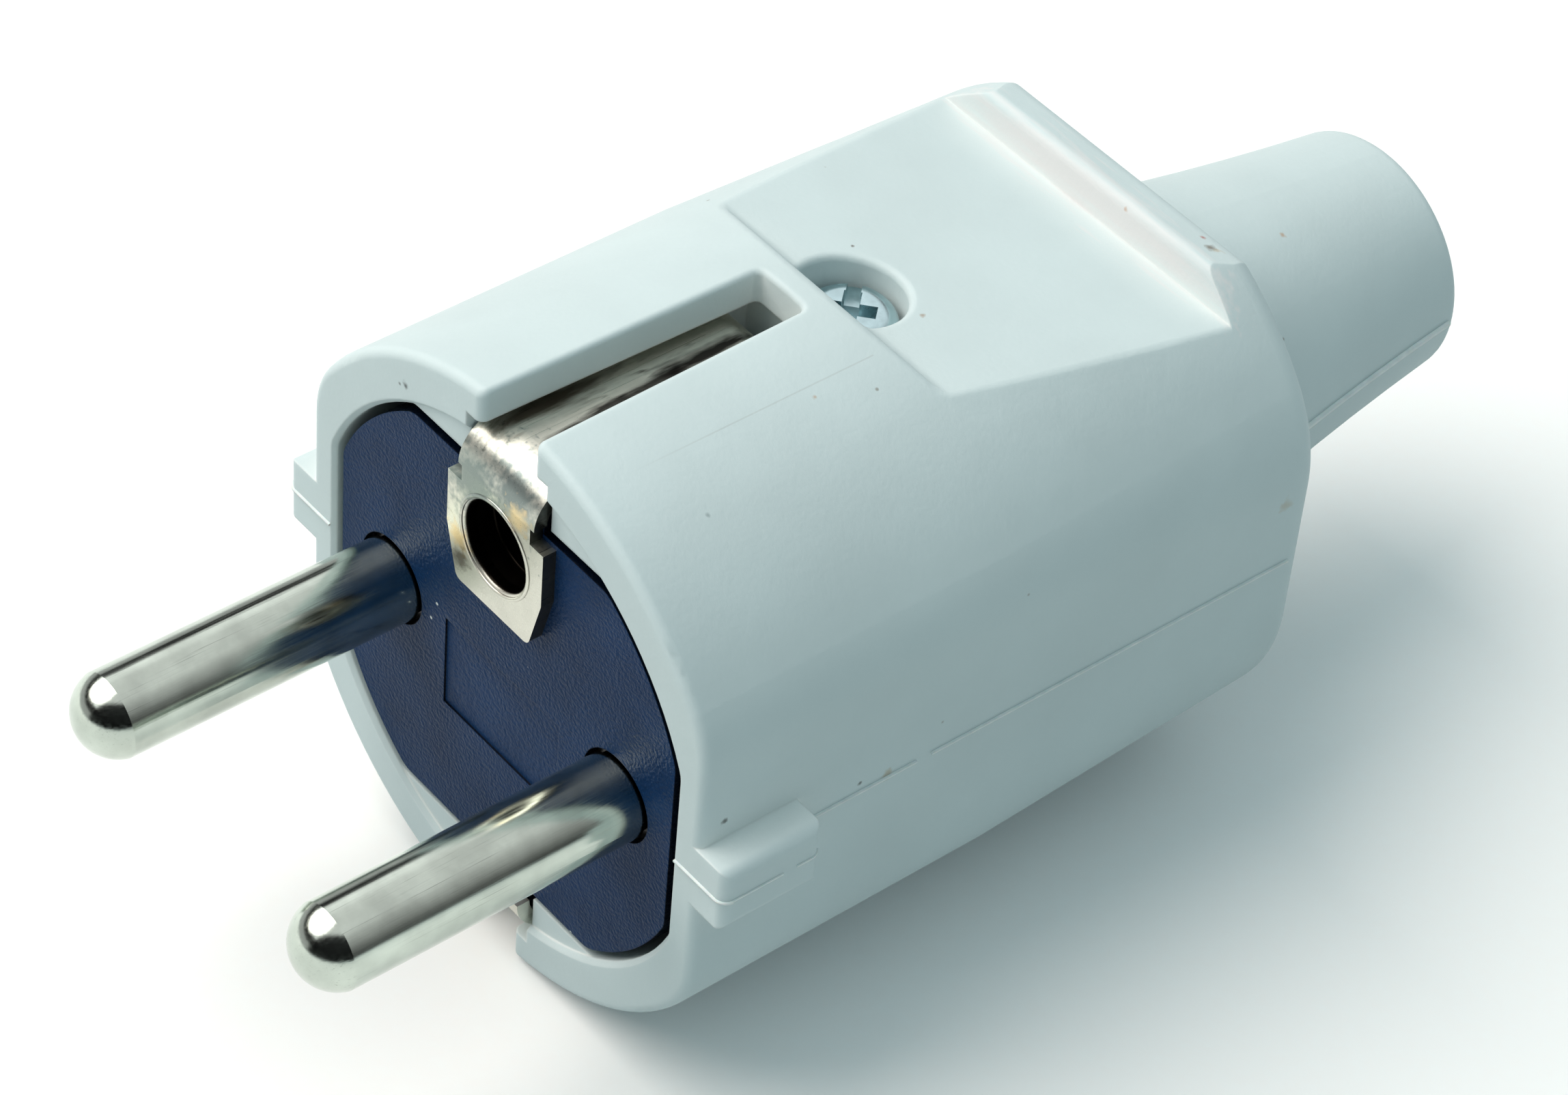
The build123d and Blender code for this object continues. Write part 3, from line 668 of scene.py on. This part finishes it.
class PLUG_OT_fasteners(bpy.types.Operator):
    """Finish the inner fasteners, and make the housing screw with its recess and thread"""

    bl_idname = "plug.fasteners"
    bl_label = "Fasteners"

    def execute(self, context):
        settings = context.scene.plug
        zinc = zinc_plate(settings.colours)
        dress(zinc, "line_terminal_screw", "neutral_terminal_screw", "earth_terminal_screw", "housing_nut",
              "earth_terminal_washer", "cord_clamp_screw_left", "cord_clamp_screw_right")
        mesh = housing_screw_mesh(settings.detail, zinc)
        place_piece("housing_screw_threaded", mesh, "zinc_steel", "housing_screw")
        return {"FINISHED"}


def pan_head_profile(detail):
    """Half section of the housing screw without its thread: point, core, neck and pan head."""
    core = detail.screw_shank_radius - detail.thread_depth
    head = (SCREW_HIGH.x - SCREW_LOW.x) / 2
    seat = SCREW_HIGH.z - detail.screw_head_height
    point_radius = core * 0.7
    point_end = SCREW_LOW.z + 0.4 * MM
    chamfer = 0.08 * MM
    round_radius = detail.screw_head_height * 0.5
    steps = 10
    profile = [(0, SCREW_LOW.z), (point_radius, SCREW_LOW.z), (core, point_end), (core, seat)]
    profile += [(head - chamfer, seat), (head, seat + chamfer)]
    for i in range(steps + 1):
        a = pi / 2 * i / steps
        profile.append((head - round_radius * (1 - cos(a)), SCREW_HIGH.z - round_radius * (1 - sin(a))))
    return profile + [(0, SCREW_HIGH.z)]


def recess_cutter(detail):
    """Tapered cross and straight slot that are pressed into the head."""
    shape = bmesh.new()
    over = 0.5 * MM
    cross_taper = 0.45
    cross = (detail.recess_length, detail.recess_width, detail.recess_depth, cross_taper)
    slot = (3 * detail.recess_length, detail.slot_width, detail.slot_depth, 1.0)
    for (long, wide, deep, taper), turn in ((cross, 0), (cross, pi / 2), (slot, 0)):
        block = bmesh.ops.create_cube(shape, size=1.0)["verts"]
        for vert in block:
            low = vert.co.z < 0
            share = taper if low else 1.0
            vert.co = Vector((vert.co.x * long * share, vert.co.y * wide, -deep if low else over))
        bmesh.ops.rotate(shape, verts=block, cent=(0, 0, 0), matrix=Matrix.Rotation(turn, 3, "Z"))
    turned = Matrix.Rotation(detail.recess_turn, 3, "Z")
    bmesh.ops.rotate(shape, verts=shape.verts, cent=(0, 0, 0), matrix=turned)
    bmesh.ops.translate(shape, verts=shape.verts, vec=(0, 0, SCREW_HIGH.z))
    return plain_mesh(shape, "recess_cutter")


def thread_tree(material):
    """Node tree that winds a screw thread: a three-cornered ridge along a helix."""
    tree, given = node_tree("screw_thread", Radius=1.0, Depth=0.1, Pitch=0.5, Length=5.0)
    turns = add(tree, "ShaderNodeMath", {0: given["Length"], 1: given["Pitch"]}, operation="DIVIDE")
    helix = add(tree, "GeometryNodeCurveSpiral", {
        "Resolution": 40, "Rotations": turns.outputs[0], "Start Radius": given["Radius"],
        "End Radius": given["Radius"], "Height": given["Length"],
    })
    ridge = add(tree, "GeometryNodeCurvePrimitiveCircle", {"Resolution": 3, "Radius": given["Depth"]},
                mode="RADIUS")
    swept = add(tree, "GeometryNodeCurveToMesh", {
        "Curve": helix.outputs[0], "Profile Curve": ridge.outputs[0], "Fill Caps": True,
    })
    whole = add(tree, "GeometryNodeRealizeInstances", {0: swept.outputs[0]})
    dressed = add(tree, "GeometryNodeSetMaterial", {"Geometry": whole.outputs[0], "Material": material})
    add(tree, "NodeGroupOutput", {0: dressed.outputs[0]})
    return tree


def housing_screw_mesh(detail, material):
    """Pan head screw with its recess cut and its thread wound on."""
    blank = temporary("screw_blank", plain_mesh(lathe(pan_head_profile(detail)), "screw_blank"))
    cutter = temporary("recess_cutter", recess_cutter(detail))
    cut = blank.modifiers.new("recess", "BOOLEAN")
    cut.operation = "DIFFERENCE"
    cut.solver = "EXACT"
    cut.use_self = True
    cut.object = cutter
    head = evaluated(blank)
    bpy.data.objects.remove(cutter)
    seat = SCREW_HIGH.z - detail.screw_head_height
    run_out = 0.5 * MM
    thread_length = seat - SCREW_LOW.z - 2 * run_out
    thread = grown(thread_tree(material), bpy.data.meshes.new("thread_seed"), "thread",
                   Radius=detail.screw_shank_radius - detail.thread_depth * 0.75,
                   Depth=detail.thread_depth * 0.5, Pitch=detail.thread_pitch, Length=thread_length)
    shape = bmesh.new()
    shape.from_mesh(thread)
    bmesh.ops.translate(shape, verts=shape.verts, vec=(0, 0, SCREW_LOW.z + run_out))
    shape.from_mesh(head)
    bmesh.ops.translate(shape, verts=shape.verts, vec=(0, (SCREW_LOW.y + SCREW_HIGH.y) / 2, 0))
    bmesh.ops.recalc_face_normals(shape, faces=shape.faces)
    mesh = plain_mesh(shape, "housing_screw_threaded")
    mesh.materials.clear()
    mesh.materials.append(material)
    smooth(mesh)
    return mesh


class PLUG_OT_socket_lip(bpy.types.Operator):
    """Make the rolled lip of the earth tube round the hole in the plate"""

    bl_idname = "plug.socket_lip"
    bl_label = "Earth socket lip"

    def execute(self, context):
        detail = context.scene.plug.detail
        shape = bmesh.new()
        for profile in (lip_profile(detail), bead_profile(detail)):
            ring = plain_mesh(lathe(profile + profile[:1], turns=96), "ring")
            shape.from_mesh(ring)
            bpy.data.meshes.remove(ring)
        bmesh.ops.remove_doubles(shape, verts=shape.verts, dist=1e-7)
        bmesh.ops.recalc_face_normals(shape, faces=shape.faces)
        bmesh.ops.rotate(shape, verts=shape.verts, cent=(0, 0, 0), matrix=Matrix.Rotation(pi / 2, 3, "X"))
        bmesh.ops.translate(shape, verts=shape.verts, vec=(0, PLATE_FRONT, HOLE_HEIGHT))
        mesh = plain_mesh(shape, "earth_socket_lip")
        mesh.materials.append(bpy.data.materials["dull_nickel_on_brass"])
        smooth(mesh, 40)
        place_piece("earth_socket_lip", mesh, "nickel_plate")
        return {"FINISHED"}


def half_turn(steps):
    """Angles of half a turn in equal steps."""
    return [pi * i / steps for i in range(steps + 1)]


def lip_profile(detail):
    """Section of the lip rolled over the plate: a low dome with its foot sunk into the plate."""
    inner = HOLE_RADIUS + 0.16 * MM
    outer = inner + detail.lip_width
    foot = -0.1 * MM
    half = detail.lip_width / 2
    dome = [(inner + half * (1 - cos(a)), detail.lip_height * sin(a)) for a in half_turn(8)]
    return dome + [(outer, foot), (inner, foot)]


def bead_profile(detail):
    """Section of the bead pressed into the tube behind the plate."""
    outer = HOLE_RADIUS - 0.005 * MM
    half = 1.2 * detail.bead_height
    return [(outer - detail.bead_height * sin(a), half * cos(a) - detail.bead_depth) for a in half_turn(6)]


class PLUG_OT_mould_flash(bpy.types.Operator):
    """Make the ragged flash along the joint of the mould, round both sides of the housing"""

    bl_idname = "plug.mould_flash"
    bl_label = "Mould flash"

    def execute(self, context):
        settings = context.scene.plug
        detail = settings.detail
        material = whitened_flash(settings.colours)
        tree = flash_tree(material)
        front, tab, flat, boot = seam_paths(detail)
        whole = bmesh.new()
        for paths, share in (((front, tab, flat), 1.0), ((boot,), detail.boot_flash)):
            run = grown(tree, seam_mesh(paths), "mould_flash", Reach=share * detail.flash_reach,
                        Thickness=share * detail.flash_thickness)
            whole.from_mesh(run)
            bpy.data.meshes.remove(run)
        mesh = plain_mesh(whole, "mould_flash")
        mesh.materials.append(material)
        mesh.shade_smooth()
        place_piece("mould_flash", mesh, "housing_plastic")
        return {"FINISHED"}


def seam_mesh(paths):
    """Edges along paths of (x, y) pairs at half height, on both sides of the housing."""
    shape = bmesh.new()
    for side in (-1, 1):
        for path in paths:
            verts = [shape.verts.new((side * x, y, 0)) for x, y in path]
            for start, end in zip(verts, verts[1:]):
                shape.edges.new((start, end))
    return plain_mesh(shape, "mould_seam")


def seam_paths(detail):
    """Outline of one side of the housing at half height, in four runs: front of rim and tab, side of the tab,
    flat, boot. On the tab's side only the tallest teeth stand out."""
    corner = detail.tab_round
    front = [(detail.mouth_half_width, 0), (BODY_RADIUS - corner, 0)]
    front += rounded((BODY_RADIUS - corner, corner), corner, -90, 0)
    tab_side = BODY_RADIUS - detail.flash_reach / 2
    tab = [(tab_side, corner), (tab_side, detail.tab_length - corner)]
    tab += rounded((tab_side - corner, detail.tab_length - corner), corner, 0, 60)
    flat_end = detail.body_length - detail.rear_round
    flat = [(detail.flat_distance, detail.tab_length), (detail.flat_distance, flat_end)]
    first = detail.body_length + 0.3 * MM
    last = BOOT_END - 0.8 * MM
    steps = 12
    stations = [first + (last - first) * i / steps for i in range(steps + 1)]
    boot = [(boot_radius(detail, y), y) for y in stations]
    return front, tab, flat, boot


def rounded(centre, radius, start, end, steps=5):
    """Points of an arc between two angles in degrees."""
    angles = [radians(start + (end - start) * i / steps) for i in range(steps + 1)]
    return [(centre[0] + radius * cos(a), centre[1] + radius * sin(a)) for a in angles]


def boot_radius(detail, y):
    """Radius of the boot at a place along it."""
    share = (y - detail.body_length) / (BOOT_END - detail.body_length)
    straight = detail.boot_root_radius + (detail.boot_tip_radius - detail.boot_root_radius) * share
    return straight - 4 * detail.boot_waist * share * (1 - share)


def flash_tree(material):
    """Node tree that grows flash along edges: broken in places, of uneven reach, a thin fin in section."""
    tree, given = node_tree("mould_flash", Reach=0.1, Thickness=0.05)
    path = add(tree, "GeometryNodeMeshToCurve", {"Mesh": given["Geometry"]})
    even = add(tree, "GeometryNodeResampleCurve", {"Curve": path.outputs[0], "Length": 0.12 * MM},
               mode="LENGTH")
    line = add(tree, "GeometryNodeCurveToMesh", {"Curve": even.outputs[0]})
    # Breaks a few millimetres apart
    breaks = add(tree, "ShaderNodeTexNoise", {"Scale": per_mm(2.6), "Detail": 2.0})
    gap = add(tree, "FunctionNodeCompare", {0: breaks.outputs[0], 1: 0.36}, operation="LESS_THAN")
    kept = add(tree, "GeometryNodeDeleteGeometry", {"Geometry": line.outputs[0], "Selection": gap.outputs[0]},
               domain="POINT", mode="ALL")
    runs = add(tree, "GeometryNodeMeshToCurve", {"Mesh": kept.outputs[0]})
    upright = add(tree, "GeometryNodeSetCurveNormal", {"Curve": runs.outputs[0]}, mode="Z_UP")
    # Ragged edge, about 0.7 mm from tooth to tooth
    teeth = add(tree, "ShaderNodeTexNoise", {"Scale": per_mm(0.7), "Detail": 4.0})
    reach = add(tree, "ShaderNodeMapRange", {"Value": teeth.outputs[0], 1: 0.3, 2: 0.7, 3: 0.25, 4: 1.0})
    ragged = add(tree, "GeometryNodeSetCurveRadius",
                 {"Curve": upright.outputs[0], "Radius": reach.outputs[0]})
    twice = add(tree, "ShaderNodeMath", {0: given["Reach"], 1: 2.0}, operation="MULTIPLY")
    fin = add(tree, "GeometryNodeCurvePrimitiveQuadrilateral",
              {"Width": twice.outputs[0], "Height": given["Thickness"]}, mode="RECTANGLE")
    swept = add(tree, "GeometryNodeCurveToMesh",
                {"Curve": ragged.outputs[0], "Profile Curve": fin.outputs[0], "Fill Caps": True})
    whole = add(tree, "GeometryNodeRealizeInstances", {0: swept.outputs[0]})
    dressed = add(tree, "GeometryNodeSetMaterial", {"Geometry": whole.outputs[0], "Material": material})
    add(tree, "NodeGroupOutput", {0: dressed.outputs[0]})
    return tree


class PLUG_OT_stage(bpy.types.Operator):
    """Set up the floor, the light and the camera"""

    bl_idname = "plug.stage"
    bl_label = "Stage"

    def execute(self, context):
        stage = context.scene.plug.stage
        make_floor(stage)
        make_light(stage)
        make_surroundings(context.scene, stage)
        context.scene.camera = make_camera(stage)
        context.scene.view_settings.view_transform = "Standard"
        return {"FINISHED"}


def make_floor(stage):
    """Plain paper that the plug lies on."""
    shape = bmesh.new()
    bmesh.ops.create_grid(shape, x_segments=4, y_segments=4, size=stage.floor_size / 2)
    bmesh.ops.translate(shape, verts=shape.verts, vec=(0, 0, FLOOR_HEIGHT))
    mesh = plain_mesh(shape, "studio_floor")
    mesh.materials.append(studio_paper(stage.bounce))
    floor = bpy.data.objects.new("studio_floor", mesh)
    bpy.context.scene.collection.objects.link(floor)


def aimed(place, target):
    """Matrix of a lamp that looks from one point at another."""
    turn = (Vector(target) - Vector(place)).to_track_quat("-Z", "Y")
    return Matrix.Translation(place) @ turn.to_matrix().to_4x4()


# Where the soft box stands and the point that it faces, in metres
SOFT_BOX_PLACE = (-0.38, -0.29, 0.68)
SOFT_BOX_TARGET = (0, 0.02, 0)


def make_light(stage):
    """One large soft box, high in front on the left."""
    lamp = bpy.data.lights.new("soft_box", "AREA")
    lamp.shape = "DISK"
    lamp.size = stage.key_size
    lamp.energy = stage.key_power
    lamp.color = tuple(stage.key_tint)[:3]
    soft_box = bpy.data.objects.new("soft_box", lamp)
    soft_box.matrix_world = aimed(SOFT_BOX_PLACE, SOFT_BOX_TARGET)
    bpy.context.scene.collection.objects.link(soft_box)


def ramp(tree, value, stops):
    """Grey level that follows a value between stops of (place, level)."""
    node = add(tree, "ShaderNodeValToRGB", {"Fac": value})
    elements = node.color_ramp.elements
    for element, (place, level) in zip(elements, (stops[0], stops[-1])):
        element.position = place
        element.color = (level, level, level, 1.0)
    for place, level in stops[1:-1]:
        elements.new(place).color = (level, level, level, 1.0)
    return node.outputs["Color"]


# Levels of the room in reflections, by the height of the mirrored direction: its left side, with a dark shelf
# and a bright strip over it, and its right side, which gets darker down to the floor's edge
ROOM_LEFT = (
    (0.0, 0.5), (0.22, 0.5), (0.26, 0.02), (0.49, 0.02),
    (0.54, 1.3), (0.72, 1.15), (0.83, 0.9), (1.0, 0.85),
)
ROOM_RIGHT = (
    (0.0, 0.04), (0.16, 0.14), (0.35, 0.28), (0.54, 0.44),
    (0.68, 0.56), (0.79, 0.74), (0.86, 0.87), (1.0, 0.87),
)


def make_surroundings(scene, stage):
    """White to the camera. In reflections a pale room that is dark on the camera's side."""
    world = bpy.data.worlds.new("studio")
    world.use_nodes = True
    tree = world.node_tree
    tree.nodes.clear()
    rays = add(tree, "ShaderNodeLightPath").outputs
    view = add(tree, "ShaderNodeTexCoord").outputs["Generated"]
    parts = add(tree, "ShaderNodeSeparateXYZ", {0: view}).outputs
    to_right = add(tree, "ShaderNodeMapRange", {"Value": parts["X"], 1: -0.2, 2: 0.2},
                   interpolation_type="SMOOTHSTEP")
    room = add(tree, "ShaderNodeMix", {
        0: to_right.outputs[0], 6: ramp(tree, parts["Z"], ROOM_LEFT), 7: ramp(tree, parts["Z"], ROOM_RIGHT),
    }, data_type="RGBA")
    toward = add(tree, "ShaderNodeVectorMath", {0: view, 1: (sin(stage.azimuth), -cos(stage.azimuth), 0.0)},
                 operation="DOT_PRODUCT")
    near = add(tree, "ShaderNodeMapRange",
               {"Value": toward.outputs["Value"], 1: 0.4, 2: 0.55, 3: 1.0, 4: 0.03},
               interpolation_type="SMOOTHSTEP")
    seen = add(tree, "ShaderNodeVectorMath", {0: room.outputs[2], "Scale": near.outputs[0]},
               operation="SCALE")
    level = add(tree, "ShaderNodeMapRange",
                {"Value": parts["Z"], 3: stage.ambient_low, 4: stage.ambient_high})
    around = add(tree, "ShaderNodeVectorMath", {0: tuple(stage.ambient_tint)[:3], "Scale": level.outputs[0]},
                 operation="SCALE")
    mirrored = add(tree, "ShaderNodeMix",
                   {0: rays["Is Glossy Ray"], 6: around.outputs[0], 7: seen.outputs[0]}, data_type="RGBA")
    shown = add(tree, "ShaderNodeMix",
                {0: rays["Is Camera Ray"], 6: mirrored.outputs[2], 7: linear("#FFFFFF")}, data_type="RGBA")
    background = add(tree, "ShaderNodeBackground", {"Color": shown.outputs[2], "Strength": 1.0})
    add(tree, "ShaderNodeOutputWorld", {"Surface": background.outputs[0]})
    scene.world = world


# Width that the lens is given for, and the nearest distance drawn, in metres
SENSOR_WIDTH_MM = 36.0
NEAR_LIMIT = 0.01


def make_camera(stage):
    """Camera at the photograph's viewpoint."""
    az, el, roll = stage.azimuth, stage.elevation, stage.roll
    back = Vector((sin(az) * cos(el), -cos(az) * cos(el), sin(el)))
    right = Vector((cos(az), sin(az), 0))
    up = back.cross(right)
    across = cos(roll) * right + sin(roll) * up
    upward = cos(roll) * up - sin(roll) * right
    place = stage.aside * across + stage.above * upward + stage.distance * back
    data = bpy.data.cameras.new("camera")
    data.lens = stage.lens
    data.sensor_width = SENSOR_WIDTH_MM
    data.sensor_fit = "HORIZONTAL"
    data.clip_start = NEAR_LIMIT
    camera = bpy.data.objects.new("camera", data)
    turn = Matrix((across, upward, back)).transposed()
    camera.matrix_world = Matrix.Translation(place) @ turn.to_4x4()
    bpy.context.scene.collection.objects.link(camera)
    return camera


OPERATORS = (
    PLUG_OT_housing,
    PLUG_OT_insert,
    PLUG_OT_contacts,
    PLUG_OT_fasteners,
    PLUG_OT_socket_lip,
    PLUG_OT_mould_flash,
    PLUG_OT_stage,
)


class PLUG_PT_panel(bpy.types.Panel):
    """Lists the plug's pieces in the sidebar"""

    bl_idname = "PLUG_PT_panel"
    bl_label = "Grounded plug"
    bl_space_type = "VIEW_3D"
    bl_region_type = "UI"
    bl_category = "Plug"

    def draw(self, context):
        for operator in OPERATORS:
            self.layout.operator(operator.bl_idname)
        for group in ("colours", "detail", "stage"):
            box = self.layout.box()
            settings = getattr(context.scene.plug, group)
            for name in settings.bl_rna.properties.keys():
                if name not in ("rna_type", "name"):
                    box.prop(settings, name)


CLASSES = (PlugColours, PlugDetail, PlugStage, PlugSettings) + OPERATORS + (PLUG_PT_panel,)


def register():
    for cls in CLASSES:
        bpy.utils.register_class(cls)
    bpy.types.Scene.plug = bpy.props.PointerProperty(type=PlugSettings)


def unregister():
    del bpy.types.Scene.plug
    for cls in reversed(CLASSES):
        bpy.utils.unregister_class(cls)


def main():
    register()
    bpy.ops.plug.housing()
    bpy.ops.plug.insert()
    bpy.ops.plug.contacts()
    bpy.ops.plug.fasteners()
    bpy.ops.plug.socket_lip()
    bpy.ops.plug.mould_flash()
    bpy.ops.plug.stage()


if __name__ == "__main__":
    main()
